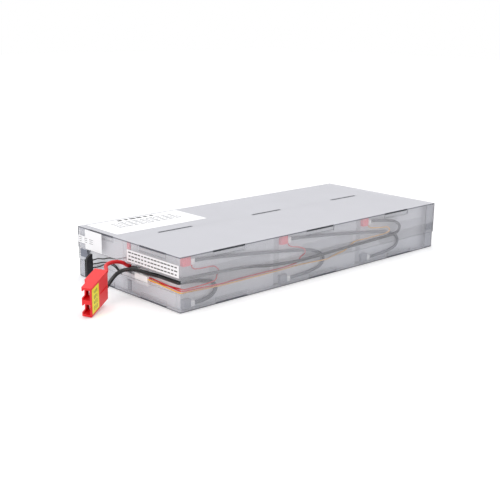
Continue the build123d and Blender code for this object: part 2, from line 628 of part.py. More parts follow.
wire("sense_lead_bottom", [
    (wire_in, plug_at[1], way_z[3]), (plug_at[0] + 3.4, plug_at[1], way_z[3]),
    (plug_at[0] + 3.8, plug_at[1] - 8.5, way_z[3] + 2.3), (plug_at[0] + 4, plug_at[1] - 21.5, way_z[3] + 8.5),
    (end_x - 3.7, plug_at[1] - 30.5, battery_z - 2.7), (end_x, rear_lid_y + 18, inline_z + 2.2),
    (end_x, rear_lid_y + 12.5, inline_z - 2.6), (end_x, sleeve_end + 4, inline_z - 3.6),
    (end_x, sleeve_end, inline_z - 3.6),
], sense_dia)
print("free lengths, black", round(black_length, 1), "red", round(red_length, 1))
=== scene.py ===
# %% [markdown]
# # A battery cartridge between two clear covers
# Six sealed lead acid batteries lie on their sides between two folded sheets of clear, slightly
# hazy plastic. The shapes come from the CAD model, so this lesson is about surfaces: thin clear
# sheet, moulded plastic, wire insulation, labels, and the light that makes them readable. Lengths
# are in metres, unless a name or a comment says otherwise.

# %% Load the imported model
import math
import bpy
import bmesh
from mathutils import Matrix, Vector


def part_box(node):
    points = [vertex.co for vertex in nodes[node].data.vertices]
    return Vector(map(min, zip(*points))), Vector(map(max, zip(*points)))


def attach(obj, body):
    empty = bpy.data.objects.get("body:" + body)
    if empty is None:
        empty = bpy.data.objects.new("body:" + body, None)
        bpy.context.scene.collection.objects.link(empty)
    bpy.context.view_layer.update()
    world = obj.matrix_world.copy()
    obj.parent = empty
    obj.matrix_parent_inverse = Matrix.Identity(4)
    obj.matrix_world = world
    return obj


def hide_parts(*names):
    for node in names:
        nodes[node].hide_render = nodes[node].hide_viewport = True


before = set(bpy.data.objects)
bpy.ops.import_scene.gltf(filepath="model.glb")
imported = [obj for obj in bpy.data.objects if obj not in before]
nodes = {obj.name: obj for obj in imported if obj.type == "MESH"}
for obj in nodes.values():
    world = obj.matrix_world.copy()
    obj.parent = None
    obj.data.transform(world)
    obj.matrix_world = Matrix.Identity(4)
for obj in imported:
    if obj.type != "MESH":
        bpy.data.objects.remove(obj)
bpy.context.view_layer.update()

# %% [markdown]
# ## The camera
# A camera is easiest to check when it is given by what a photographer would note down: from which
# side and how high it looks, how far away it stands, and its lens. A Track To constraint could
# turn it too, but the three directions worked out here simply become the columns of its matrix.

# %% Place the camera
azimuth = math.radians(-43.4585)
elevation = math.radians(14.547)
roll = math.radians(0.8077)
distance = 1.251826
aim_right, aim_up = -0.025105, 0.013891  # how far beside the origin the lens axis passes
lens_mm, sensor_mm = 64.532, 36.0
view_limit = 20.0

level_part = math.cos(elevation)
look = Vector((-math.sin(azimuth) * level_part, math.cos(azimuth) * level_part, -math.sin(elevation)))
across = Vector((math.cos(azimuth), math.sin(azimuth), 0.0))
above = across.cross(look)
right = across * math.cos(roll) + above * math.sin(roll)
up = above * math.cos(roll) - across * math.sin(roll)
camera_turn = Matrix((right, up, -look)).transposed().to_4x4()
camera_data = bpy.data.cameras.new("camera")
camera_data.lens = lens_mm
camera_data.sensor_width = sensor_mm
camera_data.clip_end = view_limit
camera = bpy.data.objects.new("camera", camera_data)
bpy.context.scene.collection.objects.link(camera)
camera.matrix_world = Matrix.Translation(right * aim_right + up * aim_up - look * distance) @ camera_turn
bpy.context.scene.camera = camera
print("camera at", [round(c, 3) for c in camera.matrix_world.translation])

# %% [markdown]
# ## Colours and nodes
# Colours are written as the hex values a designer would pick on screen. Shaders work in linear
# light, so one function turns a hex value into linear numbers. A second small function adds a node
# of any kind. Its inputs go by name, or by number where a node has several of one name, and each
# gets either a plain value or the output of another node, which is then linked.

# %% A hex colour for the shaders
def hex_colour(text):
    """A screen colour such as c8cad0 as linear red, green, blue and a solid alpha."""
    parts = [int(text[i:i + 2], 16) / 255 for i in (0, 2, 4)]
    linear = [c / 12.92 if c <= 0.04045 else ((c + 0.055) / 1.055) ** 2.4 for c in parts]
    return (*linear, 1.0)


print("the grey 808080 is", round(hex_colour("808080")[0], 3), "in linear light")

# %% One function for every node
MIX_A, MIX_B, MIX_RESULT = 6, 7, 2  # a Mix node's colour sockets, whose names others have too
COLOURS = {"data_type": "RGBA"}     # the setting that makes a Mix node blend colours
NOISE_LOW, NOISE_HIGH = 0.3, 0.7    # nearly all values of a noise lie between these


def add_node(tree, kind, inputs=None, settings=None):
    """Adds a node with its settings, then sets its inputs or links them to other outputs."""
    node = tree.nodes.new(kind)
    for key, value in (settings or {}).items():
        setattr(node, key, value)
    for key, value in (inputs or {}).items():
        if isinstance(value, bpy.types.NodeSocket):
            tree.links.new(value, node.inputs[key])
        else:
            node.inputs[key].default_value = value
    return node


print("a Mix node blends the colours in its sockets", MIX_A, "and", MIX_B)

# %% Start a material and give it to CAD nodes
def new_material(name):
    """An empty material, its tree and its output node."""
    print("material:", name)
    material = bpy.data.materials.new(name)
    material.use_nodes = True
    tree = material.node_tree
    tree.nodes.clear()
    return material, tree, tree.nodes.new("ShaderNodeOutputMaterial")


def paint(material, *names):
    """Puts a material on CAD nodes."""
    for name in names:
        piece = nodes[name]
        if not piece.material_slots:
            piece.data.materials.append(material)
        for slot in piece.material_slots:
            slot.material = material


print("parts to paint", len(nodes))

# %% [markdown]
# ## Wire insulation
# Soft insulation has a low sheen with faint drawing marks and a little dust. A noise on object
# coordinates moves the roughness a little, so that the long highlight on each wire breaks up as
# it does on a real one. The same noise lifts the surface by a few hundredths of a millimetre.

# %% The insulation material
WIRE_GRAINS_PER_M = 900.0  # marks about 1.1 mm apart, coarser than real ones so that they show
WIRE_RELIEF = 0.00004
WIRE_SMOOTHER, WIRE_ROUGHER = 0.07, 0.08  # how far the marks move the roughness down and up


def insulation(name, colour, rough):
    """Extruded insulation: one colour, a soft sheen and a faint fine grain."""
    material, tree, output = new_material(name)
    place = add_node(tree, "ShaderNodeTexCoord")
    grain = add_node(tree, "ShaderNodeTexNoise", {
        "Vector": place.outputs["Object"], "Scale": WIRE_GRAINS_PER_M, "Detail": 3.0})
    spread = add_node(tree, "ShaderNodeMapRange", {
        "Value": grain.outputs["Fac"], "From Min": NOISE_LOW, "From Max": NOISE_HIGH,
        "To Min": rough - WIRE_SMOOTHER, "To Max": rough + WIRE_ROUGHER})
    bump = add_node(tree, "ShaderNodeBump", {
        "Height": grain.outputs["Fac"], "Strength": 0.25, "Distance": WIRE_RELIEF})
    shader = add_node(tree, "ShaderNodeBsdfPrincipled", {
        "Roughness": spread.outputs["Result"], "Normal": bump.outputs["Normal"],
        "Base Color": hex_colour(colour), "IOR": 1.5})
    tree.links.new(shader.outputs["BSDF"], output.inputs["Surface"])
    return material


print("marks on the wires every", round(1000 / WIRE_GRAINS_PER_M, 1), "mm")

# %% The wires' own materials
# Silicone rubber, extruded over fine strands: a soft black that keeps a long, low highlight.
black_wire = insulation("silicone rubber, black", "08080a", 0.3)
# Soft PVC, extruded: greyer than the leads, since the scattering sheet in front lifts its black.
veiled_black = insulation("PVC, black, behind the haze", "4a4c54", 0.5)
# Silicone rubber, extruded with a red pigment: full colour with a satin highlight.
red_wire = insulation("silicone rubber, red", "d8141c", 0.34)
# Thin PVC, extruded: bright red, a little duller than the thick lead.
sense_red = insulation("extruded PVC, red", "dc2028", 0.38)
# Thin PVC, extruded: black with a soft, wide highlight along the wire.
sense_black = insulation("extruded PVC, black", "050506", 0.5)
# Thin PVC, extruded: a warm orange yellow that shows best through the haze.
sense_yellow = insulation("extruded PVC, orange yellow", "ffbe4a", 0.38)

# %% [markdown]
# ## The free leads
# Two thick leads come out between the covers and end in the power connector, and three thin ones
# end in the sense plug. A round tube could be swept along each route in mesh code, but a curve
# keeps its section round in every bend by itself. A NURBS curve of order three stays inside its
# control points, which gives the even bends of a real cable.

# %% A lead as a round curve
CURVE_STEPS = 16  # straight steps between two control points
ROUND_STEPS = 6   # how finely the round section is divided


def lead(name, points_mm, diameter_mm, material, replaced):
    """One free lead: a round NURBS curve through the air, its points in millimetres."""
    data = bpy.data.curves.new(name, "CURVE")
    data.dimensions = "3D"
    data.resolution_u = CURVE_STEPS
    data.bevel_depth = diameter_mm / 2000
    data.bevel_resolution = ROUND_STEPS
    data.use_fill_caps = True
    spline = data.splines.new("NURBS")
    spline.points.add(len(points_mm) - 1)
    for point, place in zip(spline.points, points_mm):
        point.co = (place[0] / 1000, place[1] / 1000, place[2] / 1000, 1.0)
    spline.order_u = 3
    spline.use_endpoint_u = True
    piece = bpy.data.objects.new(name, data)
    bpy.context.scene.collection.objects.link(piece)
    data.materials.append(material)
    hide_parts(replaced)
    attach(piece, "root")
    print(name, "has", len(points_mm), "control points")
    return piece


print("steps between two points", CURVE_STEPS)

# %% The two main leads
MAIN_LEAD_MM = 4.8
black_route = [(-236.7, -60.35, 34.5), (-239.9, -41.0, 34.4), (-244.4, -24.8, 36.5), (-251.0, -12.2, 35.0),
               (-258.3, -8.1, 31.6), (-265.8, -8.2, 26.8), (-277.82, -14.49, 20.58), (-289.47, -21.84, 18.08)]
red_route = [(-229.5, 4.2, 35.4), (-236.0, 1.4, 33.0), (-241.8, 3.2, 38.5), (-251.3, 4.2, 41.5),
             (-262.9, 1.9, 42.4), (-272.6, -2.3, 41.3), (-279.75, -17.45, 38.23), (-291.4, -24.8, 35.72)]
black_lead = lead("free_lead_black", black_route, MAIN_LEAD_MM, black_wire, "main_lead_black")
red_lead = lead("free_lead_red", red_route, MAIN_LEAD_MM, red_wire, "main_lead_red")

# %% The three sense leads
SENSE_LEAD_MM = 1.5
top_route = [(-218.3, 5.45, 53.4), (-218.3, 5.45, 48.4), (-221.0, 2.85, 44.2), (-230.0, 2.45, 44.0),
             (-236.6, 7.05, 43.2), (-237.2, 15.05, 40.4), (-237.6, 24.6, 37.6), (-241.4, 35.4, 38.2),
             (-242.4, 44.4, 34.4), (-242.6, 56.6, 33.2), (-243.6, 64.5, 29.7), (-249.0, 64.5, 29.7)]
middle_route = [(-236.7, 12.1, 23.6), (-236.7, 17.1, 23.6), (-236.7, 21.55, 24.8), (-236.7, 28.05, 29.5),
                (-240.0, 36.0, 31.4), (-243.0, 46.0, 30.4), (-243.2, 57.0, 26.6), (-243.6, 64.5, 24.7),
                (-249.0, 64.5, 24.7)]
bottom_route = [(-236.7, 12.1, 20.4), (-236.7, 16.1, 20.4), (-236.7, 20.55, 21.4), (-236.7, 26.05, 26.2),
                (-240.4, 34.0, 30.4), (-243.0, 43.0, 28.2), (-243.2, 56.0, 22.0), (-243.6, 64.5, 19.7),
                (-249.0, 64.5, 19.7)]
for name, route, long in (("top", top_route, 0.0911), ("middle", middle_route, 0.0603),
                          ("bottom", bottom_route, 0.0622)):
    piece = lead("free_sense_" + name, route, SENSE_LEAD_MM, sense_black, "sense_lead_" + name)

# %% [markdown]
# ## Clear folded sheet
# The covers are polyester sheet, 0.6 mm thick. It lets most of the light through but scatters
# some, so what lies behind it looks pale. A sheet this thin bends no light that one can see, so a
# see-through surface with a soft glossy haze is truer than glass, and it exports well.
#
# The sheet is milkier on its broad level panel, and it needs less haze where one cover laps the
# other. Its folds, three of its upright corners and its cut edges carry painted shade, for the shade
# in creases and along edges: grey on the folds and corners, darkest on the cut edges. These zones
# could be painted by hand. Here one material finds them from each point's place and from the way
# that the surface faces there, which needs no paint and no unwrapped mesh.

# %% [markdown]
# ### A recipe of Math nodes
# Each row below becomes one Math node. It has a name, an operation, and two things that go in:
# numbers, or the names of rows above and of the sheet's own values. A comparison gives one where
# it holds and zero elsewhere, so multiplying two zones keeps what they share, and the maximum
# joins them. The way a surface faces is given by the X, Y and Z of its normal, which is the
# direction at right angles to it.

# %% Rows for level, upright and bent places
LEVEL_FROM, UPRIGHT_TO = 0.9, 0.1  # how much a level surface faces up or down, and an upright one
bend_rows = [
    ("tilt", "ABSOLUTE", "normal z", 0.0),
    ("level", "GREATER_THAN", "tilt", LEVEL_FROM),
    ("upright", "LESS_THAN", "tilt", UPRIGHT_TO),
    ("straight", "MAXIMUM", "level", "upright"),
    ("bend", "SUBTRACT", 1.0, "straight")]
print("rows for bends", len(bend_rows))

# %% Rows for the cut edges
# A level surface off the panel is a cut edge, and so is an upright one within its thickness.
CUT_FROM, CUT_TO = 0.0006, 0.00028  # both are distances from the middle of the panel's thickness
cut_rows = [
    ("above panel", "SUBTRACT", "z", "panel z"),
    ("off panel", "ABSOLUTE", "above panel", 0.0),
    ("away", "GREATER_THAN", "off panel", CUT_FROM),
    ("near", "LESS_THAN", "off panel", CUT_TO),
    ("level cut", "MULTIPLY", "level", "away"),
    ("upright cut", "MULTIPLY", "upright", "near"),
    ("cut", "MAXIMUM", "level cut", "upright cut")]
print("rows for cut edges", len(cut_rows))

# %% Rows for the upright corners
END_EDGE, SIDE_EDGE = 0.2392, 0.1018  # a corner lies outside one of these planes
CORNER_TURN = 0.93                    # and faces that axis by less than this
corner_rows = []
for axis, edge in (("x", END_EDGE), ("y", SIDE_EDGE)):
    corner_rows += [
        (f"along {axis}", "ABSOLUTE", f"normal {axis}", 0.0),
        (f"turned {axis}", "LESS_THAN", f"along {axis}", CORNER_TURN),
        (f"far {axis}", "ABSOLUTE", axis, 0.0),
        (f"edge {axis}", "GREATER_THAN", f"far {axis}", edge),
        (f"corner {axis}", "MULTIPLY", f"turned {axis}", f"edge {axis}"),
        (f"half {axis}", "GREATER_THAN", axis, 0.0)]
# Painted shade: three upright corners are drawn grey, for the shade seen along them. The front
# corner of the left end looks clear, so it gets none.
corner_rows += [
    ("any corner", "MAXIMUM", "corner y", "corner x"),
    ("corner", "MULTIPLY", "any corner", "upright"),
    ("far half", "MAXIMUM", "half x", "half y"),
    ("grey corner", "MULTIPLY", "corner", "far half"),
    ("fold", "MAXIMUM", "bend", "grey corner")]
print("rows for corners", len(corner_rows))

# %% Rows for the haze
# The wall's own haze drifts a little. It is less in the lap, and more on panel, folds and cuts. On
# folds and cuts the extra haze lets their painted shade show.
LAP_LOW, LAP_HIGH = 0.0234, 0.0370  # heights between which the two covers lap
FOLD_HAZE, CUT_HAZE = 0.45, 0.9     # haze that a fold adds, and the least on a cut edge
haze_rows = [
    ("over lap", "GREATER_THAN", "z", LAP_LOW),
    ("under lap", "LESS_THAN", "z", LAP_HIGH),
    ("in lap", "MULTIPLY", "over lap", "under lap"),
    ("spared", "MULTIPLY", "in lap", "lap clearing"),
    ("veil", "SUBTRACT", 1.0, "spared"),
    ("wall haze", "MULTIPLY", "drift", "veil"),
    ("panel milk", "MULTIPLY", "level", "panel extra"),
    ("panel haze", "ADD", "wall haze", "panel milk"),
    ("fold shade share", "MULTIPLY", "fold", FOLD_HAZE),
    ("fold haze", "ADD", "panel haze", "fold shade share"),
    ("cut shade share", "MULTIPLY", "cut", CUT_HAZE),
    ("haze", "MAXIMUM", "fold haze", "cut shade share")]
print("the covers lap over", round((LAP_HIGH - LAP_LOW) * 1000, 1), "mm")

# %% Turn the rows into nodes
CLOUDS_PER_M, CLOUD_SWING = 14.0, 0.015  # uneven haze in patches of about 70 mm, as rolled sheet has


def sheet_zones(tree, place, haze, panel_haze, panel_z, lap_haze):
    """Where the sheet is level, folded or cut, and how hazy it is: sockets by name."""
    normal = add_node(tree, "ShaderNodeSeparateXYZ", {"Vector": place.outputs["Normal"]}).outputs
    spot = add_node(tree, "ShaderNodeSeparateXYZ", {"Vector": place.outputs["Object"]}).outputs
    cloud = add_node(tree, "ShaderNodeTexNoise", {
        "Vector": place.outputs["Object"], "Scale": CLOUDS_PER_M, "Detail": 2.0})
    drift = add_node(tree, "ShaderNodeMapRange", {
        "Value": cloud.outputs["Fac"], "From Min": NOISE_LOW, "From Max": NOISE_HIGH,
        "To Min": haze - CLOUD_SWING, "To Max": haze + CLOUD_SWING})
    zone = {"x": spot["X"], "y": spot["Y"], "z": spot["Z"], "drift": drift.outputs["Result"],
            "normal x": normal["X"], "normal y": normal["Y"], "normal z": normal["Z"],
            "panel z": panel_z, "panel extra": panel_haze - haze, "lap clearing": 1.0 - lap_haze}
    for title, operation, first, second in bend_rows + cut_rows + corner_rows + haze_rows:
        node = add_node(tree, "ShaderNodeMath", {0: zone.get(first, first), 1: zone.get(second, second)},
                        {"operation": operation, "label": title})
        zone[title] = node.outputs[0]
    return zone


print("Math nodes in a sheet", len(bend_rows + cut_rows + corner_rows + haze_rows))

# %% The sheet material
RIPPLES_PER_M, RIPPLE_DEPTH = 260.0, 0.00003  # the rolls' ripple, about 4 mm from crest to crest
SHEET_IOR, SHEET_GLOSS = 1.57, 0.22           # polyester, with the gloss of a slightly matt sheet


def clear_sheet(name, wall, haze, rough, panel_z, panel=None, fold=None, cut=None, panel_haze=None,
                lap_haze=1.0):
    """Clear plastic sheet: hazy and glossy, its own tone on the panel, painted shade on folds and cuts."""
    material, tree, output = new_material(name)
    place = add_node(tree, "ShaderNodeTexCoord")
    zone = sheet_zones(tree, place, haze, panel_haze or haze, panel_z, lap_haze)
    tone = hex_colour(wall)
    # The panel keeps its own tone; folds, corners and cut edges get their painted shade.
    for title, colour in (("level", panel), ("fold", fold), ("cut", cut)):
        if colour:
            blend = {"Factor": zone[title], MIX_A: tone, MIX_B: hex_colour(colour)}
            tone = add_node(tree, "ShaderNodeMix", blend, COLOURS).outputs[MIX_RESULT]
    ripple = add_node(tree, "ShaderNodeTexNoise", {
        "Vector": place.outputs["Object"], "Scale": RIPPLES_PER_M, "Detail": 2.0})
    bump = add_node(tree, "ShaderNodeBump", {
        "Height": ripple.outputs["Fac"], "Strength": 0.05, "Distance": RIPPLE_DEPTH})
    shader = add_node(tree, "ShaderNodeBsdfPrincipled", {
        "Base Color": tone, "Alpha": zone["haze"], "Normal": bump.outputs["Normal"],
        "Roughness": rough, "IOR": SHEET_IOR, "Specular IOR Level": SHEET_GLOSS})
    tree.links.new(shader.outputs["BSDF"], output.inputs["Surface"])
    print(name, "has", len(tree.nodes), "nodes")
    return material


# %% The two covers
# Polyester sheet, extruded, die-cut and folded: clear with a milky haze. Painted shade makes its
# folds grey and its cut edges dark.
cover_sheet = clear_sheet("polyester sheet, clear, upper", "e8e8ee", haze=0.24, rough=0.6,
                          panel_z=0.0661, panel="d3d3d9", fold="7e8088", cut="3c3e44",
                          panel_haze=0.78, lap_haze=0.6)
# The same sheet, a little darker in tone, with nearly no haze where the cover laps it. Painted
# shade makes its folds and cut edges dark; along the bottom fold it is a painted contact shadow.
tray_sheet = clear_sheet("polyester sheet, clear, lower", "dedfe6", haze=0.24, rough=0.45,
                         panel_z=0.0003, fold="3c3e46", cut="55575e", panel_haze=0.7, lap_haze=0.12)
paint(cover_sheet, "upper_cover")
paint(tray_sheet, "lower_tray")

# %% [markdown]
# ## Thin flat pieces
# Flaps, the strips and rims of painted shade, the pale pads and cards of painted light, and labels
# are all thin and flat, with rounded corners. Each could be modelled in its place, but it is simpler
# to draw it flat on the ground and to lay it on its plane with one matrix. The plane is given by a
# point and two directions: to the right, and upwards, as one faces that side of the pack from
# outside. Their cross product then points outwards.

# %% Planes on the sides of the pack
SIDES = {"front": ((1, 0, 0), (0, 0, 1)), "rear": ((-1, 0, 0), (0, 0, 1)), "left": ((0, -1, 0), (0, 0, 1)),
         "right": ((0, 1, 0), (0, 0, 1)), "top": ((1, 0, 0), (0, 1, 0))}


def on_plane(origin, to_right, upwards):
    """The matrix that takes flat coordinates to a plane in space."""
    first, second = Vector(to_right).normalized(), Vector(upwards).normalized()
    turn = Matrix((first, second, first.cross(second))).transposed().to_4x4()
    return Matrix.Translation(Vector(origin)) @ turn


print("outwards at the left end", on_plane((0, 0, 0), *SIDES["left"]).col[2][:3])

# %% Draw a rounded rectangle and put a mesh in its place
CORNER_STEPS = 6  # straight steps in each rounded corner


def outline(mesh, width, height, radius, lift):
    """The points of a rounded rectangle at one height."""
    ring = []
    for cx, cy, start in ((1, 1, 0), (-1, 1, 90), (-1, -1, 180), (1, -1, 270)):
        for step in range(CORNER_STEPS + 1):
            angle = math.radians(start + 90 / CORNER_STEPS * step)
            ring.append(mesh.verts.new((cx * (width / 2 - radius) + radius * math.cos(angle),
                                        cy * (height / 2 - radius) + radius * math.sin(angle), lift)))
    return ring


def settle(name, mesh, matrix, material):
    """Turns finished mesh data into a piece in its place."""
    bmesh.ops.transform(mesh, matrix=matrix, verts=mesh.verts)
    bmesh.ops.recalc_face_normals(mesh, faces=mesh.faces)
    data = bpy.data.meshes.new(name)
    mesh.to_mesh(data)
    mesh.free()
    data.materials.append(material)
    piece = bpy.data.objects.new(name, data)
    bpy.context.scene.collection.objects.link(piece)
    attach(piece, "root")


print("points in a rounded corner", CORNER_STEPS + 1)

# %% A plate and a ring
def plate(name, matrix, width, height, radius, material, thick):
    """A thin plate with rounded corners, its back on the plane."""
    mesh = bmesh.new()
    face = mesh.faces.new(outline(mesh, width, height, radius, 0.0))
    raised = bmesh.ops.extrude_face_region(mesh, geom=[face])
    for item in raised["geom"]:
        if isinstance(item, bmesh.types.BMVert):
            item.co.z += thick
    settle(name, mesh, matrix, material)


def rim(name, matrix, width, height, band, radius, material, thick):
    """A flat ring round an opening, band wide."""
    mesh = bmesh.new()
    outer, inner = (width, height, radius), (width - 2 * band, height - 2 * band, radius - band)
    rings = [outline(mesh, *size, level) for size, level in (
        (outer, 0.0), (outer, thick), (inner, thick), (inner, 0.0))]
    for low, high in zip(rings, rings[1:] + rings[:1]):
        for i in range(len(low)):
            j = (i + 1) % len(low)
            mesh.faces.new((low[i], low[j], high[j], high[i]))
    settle(name, mesh, matrix, material)


print("points round a plate", 4 * (CORNER_STEPS + 1))

# %% [markdown]
# ### Corner flaps
# A box folded from flat sheet has flaps at its corners, glued behind the next wall. Two corners
# show them: behind the front wall at the right end, and behind the left end at the rear. Where the
# flap of the upper sheet and that of the lower one lie over each other, less light comes through.

# %% Flap materials
NO_PANEL = 0.5  # a height far above the pack, since a flap has no level panel
# Polyester sheet, die-cut and folded in: one thickness behind the wall dims the light a little.
flap_sheet = clear_sheet("polyester sheet, clear, single flap", "b2b4bd", haze=0.82, rough=0.5,
                         panel_z=NO_PANEL)
# The same sheet at the left end, where more light falls on it.
pale_sheet = clear_sheet("polyester sheet, clear, end flap", "d2d4dc", haze=0.62, rough=0.5,
                         panel_z=NO_PANEL)
# Polyester sheet, two flaps glued together: a darker, bluer grey where they lap.
double_sheet = clear_sheet("polyester sheet, clear, doubled flap", "7f828f", haze=0.93, rough=0.5,
                           panel_z=NO_PANEL)

# %% Build the corner flaps
flap_thick, flap_corner = 0.0003, 0.0002
front_flap_x, front_flap_y, front_flap_wide = 0.2322, -0.1019, 0.0158
end_flap_x, end_flap_y, end_flap_wide = -0.2390, 0.0944, 0.0150
flap_foot, double_low, double_high, flap_top = 0.0012, 0.0268, 0.0370, 0.0652
for name, low, high, front_material, end_material in (
        ("upper", double_high, flap_top, flap_sheet, pale_sheet),
        ("doubled", double_low, double_high, double_sheet, double_sheet),
        ("lower", flap_foot, double_low, flap_sheet, pale_sheet)):
    tall, middle = high - low, (low + high) / 2
    plate("flap_front_" + name, on_plane((front_flap_x, front_flap_y, middle), *SIDES["front"]),
          front_flap_wide, tall, flap_corner, front_material, flap_thick)
    plate("flap_end_" + name, on_plane((end_flap_x, end_flap_y, middle), *SIDES["left"]),
          end_flap_wide, tall, flap_corner, end_material, flap_thick)
    print("flap", name, round(tall * 1000, 1), "mm tall")

# %% [markdown]
# ## Moulded plastics
# Battery cases and lids are light grey ABS, moulded in a tool whose spark-eroded face leaves a
# fine texture. The posts are potted in coloured resin, and the push-on receptacles are natural
# nylon. All of these are dielectrics with an IOR near 1.5 and differ in colour, roughness and
# grain, so one function makes them all. Real grain is a few hundredths of a millimetre, too fine
# to show here, and is drawn at half a millimetre and more.

# %% The moulded material
PATCHES_PER_M = 22.0  # colour drifts over patches of about 45 mm


def moulded(name, colour, rough, grains_per_mm=1.8, depth=0.00005, ior=1.5, shade=0.06):
    """Moulded plastic and the like: a fine even grain, and slightly uneven colour."""
    material, tree, output = new_material(name)
    place = add_node(tree, "ShaderNodeTexCoord")
    grain = add_node(tree, "ShaderNodeTexNoise", {
        "Vector": place.outputs["Object"], "Scale": grains_per_mm * 1000, "Detail": 2.0})
    cloud = add_node(tree, "ShaderNodeTexNoise", {
        "Vector": place.outputs["Object"], "Scale": PATCHES_PER_M, "Detail": 3.0})
    middle = hex_colour(colour)[:3]
    darker = (*(c * (1 - shade) for c in middle), 1.0)
    lighter = (*(min(1.0, c * (1 + shade)) for c in middle), 1.0)
    tone = add_node(tree, "ShaderNodeMix", {
        "Factor": cloud.outputs["Fac"], MIX_A: darker, MIX_B: lighter}, COLOURS)
    bump = add_node(tree, "ShaderNodeBump", {
        "Height": grain.outputs["Fac"], "Strength": 0.3, "Distance": depth})
    shader = add_node(tree, "ShaderNodeBsdfPrincipled", {
        "Base Color": tone.outputs[MIX_RESULT], "Normal": bump.outputs["Normal"],
        "Roughness": rough, "IOR": ior})
    tree.links.new(shader.outputs["BSDF"], output.inputs["Surface"])
    return material


print("colour patches of", round(1000 / PATCHES_PER_M), "mm")

# %% Plastics of the batteries
# ABS, injection moulded: a light grey case with a fine spark-eroded matt surface.
case_abs = moulded("moulded ABS, light grey case", "e8e9ed", 0.5)
# ABS, injection moulded and welded on: nearly the same grey, a touch smoother.
lid_abs = moulded("moulded ABS, grey lid", "e4e5ea", 0.45)
# ABS, injection moulded: the strip over the vents, slightly darker and smoother.
vent_abs = moulded("moulded ABS, grey vent cover", "cccdd3", 0.4)
# Epoxy resin, poured round the post: glossy red. The colour is painted a lighter pink than the
# resin, for the light that the haze in front scatters over it.
post_red = moulded("potting resin, red", "ff6a76", 0.3, grains_per_mm=0.7)
# Epoxy resin, poured round the post: black, lifted to a mid grey by the haze in front.
post_black = moulded("potting resin, black", "9a9ca4", 0.35, grains_per_mm=0.7)
# Nylon, injection moulded and left natural: near white, softly shining.
nylon = moulded("moulded nylon, natural", "ffffff", 0.4, grains_per_mm=0.9)

# %% Plastics round the batteries
# Nylon, injection moulded, black: satin, with a fine grain.
plug_nylon = moulded("moulded nylon, black", "1b1b1f", 0.42, grains_per_mm=1.2)
# Polyethylene foam, cut from sheet: matt, with open cells that break up the light.
foam_grey = moulded("polyethylene foam, grey", "c2c4ca", 0.9, grains_per_mm=0.7, depth=0.0003)
# Foam tape, coated and slit: matt off-white, seen faintly through the top panel.
tape_white = moulded("foam tape, white", "e6e6ea", 0.8, grains_per_mm=0.9)
# Painted shade: a flat black piece behind the hand slots, for the shade inside them.
slot_shade_black = moulded("painted shade, black behind the slots", "1a1b1e", 0.5, grains_per_mm=0.9)
# Woven glass sleeve, varnished: pale, with a soft shine.
sleeve_clear = moulded("flat sleeve, natural", "dcdce0", 0.35, grains_per_mm=0.5)
# Polycarbonate, injection moulded: strong signal red with a satin face.
connector_red = moulded("moulded polycarbonate, red", "e8000c", 0.45, grains_per_mm=1.5, depth=0.00004,
                        ior=1.58)

# %% Give the plastics to their parts
for row in ("front", "rear"):
    for spot in ("left", "middle", "right"):
        paint(case_abs, f"case_{row}_{spot}")
        paint(lid_abs, f"lid_{row}_{spot}")
        paint(post_red, f"terminal_red_{row}_{spot}")
        paint(post_black, f"terminal_black_{row}_{spot}")
    paint(vent_abs, f"vent_covers_{row}")
    paint(nylon, f"receptacles_{row}")
paint(tape_white, "seam_tape")
# The slot pads carry painted shade: black behind the hand slots.
paint(slot_shade_black, "slot_pads")
paint(foam_grey, "foam_gap_blocks", "foam_end_blocks")
paint(nylon, "inline_sense_connector")
paint(sleeve_clear, "sense_sleeve")
paint(plug_nylon, "sense_plug_housing")
paint(connector_red, "power_connector_housing")
print("parts with a material", sum(bool(piece.material_slots) for piece in nodes.values()))

# %% [markdown]
# ### Painted shade at the slots and windows, and pale fill
# Each hand slot in the top has a dark rim of painted shade. Each tab window along the folds has a
# dark strip behind its open edge, a painted shadow for the gap there, and pale pads and cards put
# painted light into the shaded room beside the batteries. They are plain flat strips, so thin
# plates at their places are all that they need.

# %% Materials of the painted shade and the pale fill
# Painted shade round the slots: a grey, matt rim.
slot_rim_shade = moulded("painted shade, slot rim", "8b8d94", 0.4, grains_per_mm=0.9)
# Painted shadow, dark: thin strips behind the open folds of the tab windows.
shadow_strip_dark = moulded("painted shadow strip, dark", "34363c", 0.85, grains_per_mm=0.9, depth=0.0002)
# Painted light: pale pads and cards that lighten the shaded room beside the batteries.
pale_fill = moulded("painted light, pale fill", "c9cad0", 0.85, grains_per_mm=0.9, depth=0.0002)
# The same painted shadow in mid grey, for the places that get more light.
shadow_strip_grey = moulded("painted shadow strip, grey", "5d5f68", 0.85, grains_per_mm=0.9, depth=0.0002)

# %% Slot rims on the top
# Rims of painted shade round the three hand slots.
top_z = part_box("upper_cover")[1][2]
slot_places, slot_y = (-0.158, 0.003, 0.164), 0.008
rim_long, rim_wide, rim_band, rim_corner, rim_thick = 0.0555, 0.0048, 0.0012, 0.0020, 0.00025
for i, x in enumerate(slot_places):
    rim(f"slot_rim_{i}", on_plane((x, slot_y, top_z), *SIDES["top"]), rim_long, rim_wide, rim_band,
        rim_corner, slot_rim_shade, rim_thick)
print("slot rims", len(slot_places), "on the top at", round(top_z * 1000, 1), "mm")

# %% Painted shadow strips behind the tab windows
shadow_strip_long, shadow_strip_tall, shadow_strip_corner, shadow_strip_thick = 0.0515, 0.0015, 0.0004, 0.0003
end_windows = (-0.0521, 0.0521)  # along Y, in both sheets
